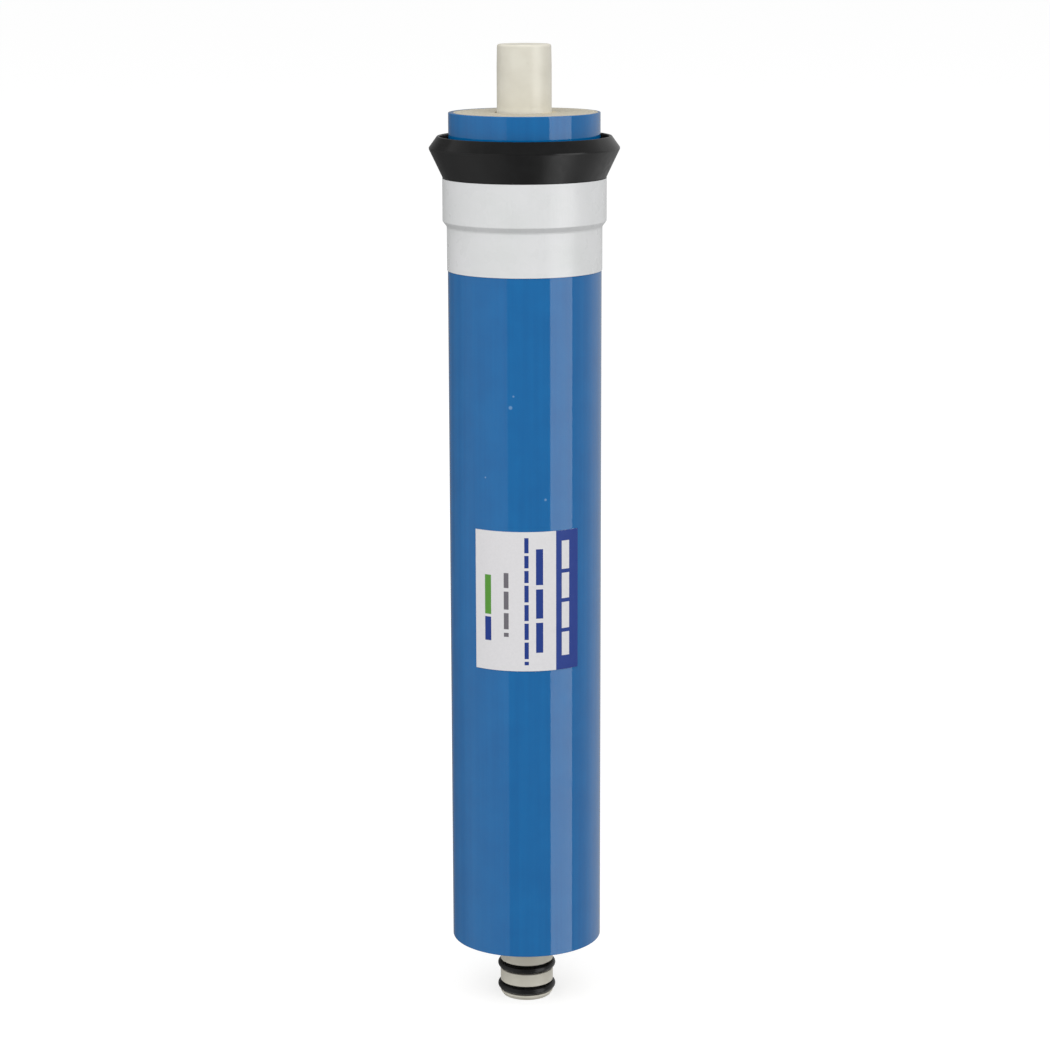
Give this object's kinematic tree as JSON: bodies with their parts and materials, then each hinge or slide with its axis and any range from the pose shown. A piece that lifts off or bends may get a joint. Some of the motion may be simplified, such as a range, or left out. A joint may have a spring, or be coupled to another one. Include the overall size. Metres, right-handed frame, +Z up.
{
  "type": "ro membrane element",
  "caption": "Spiral-wound reverse osmosis membrane element with a taped roll, brine seal, closed feed-end stub and O-ring permeate spigot.",
  "frame": {"origin": "centre of the permeate spigot's end face, the lowest face of the part", "axes": "+Z up the permeate tube towards the feed end, -Y towards the label"},
  "size_m": [0.0572, 0.0572, 0.2984],
  "materials": {
    "tube_plastic": "moulded, low sheen",
    "o_ring_rubber": "smooth, faint sheen",
    "core_tape": "thin adhesive tape",
    "glue": "cured polyurethane",
    "carrier_fabric": "stiffened knit",
    "membrane": "cast film on fabric",
    "spacer_net": "extruded net",
    "wrap_tape": "glossy vinyl tape",
    "seal_rubber": "moulded, dull",
    "seal_tape": "smooth vinyl tape",
    "label": "coated label stock"
  },
  "bodies": {
    "root": {"permeate_tube": "tube_plastic", "o_ring_lower": "o_ring_rubber", "o_ring_upper": "o_ring_rubber", "core_tape": "core_tape", "core_glue": "glue", "permeate_carrier": "carrier_fabric", "membrane_leaf": "membrane", "feed_spacer": "spacer_net", "seam_glue": "glue", "outer_wrap": "wrap_tape", "brine_seal": "seal_rubber", "seal_tape": "seal_tape", "label": "label"}
  },
  "joints": []
}
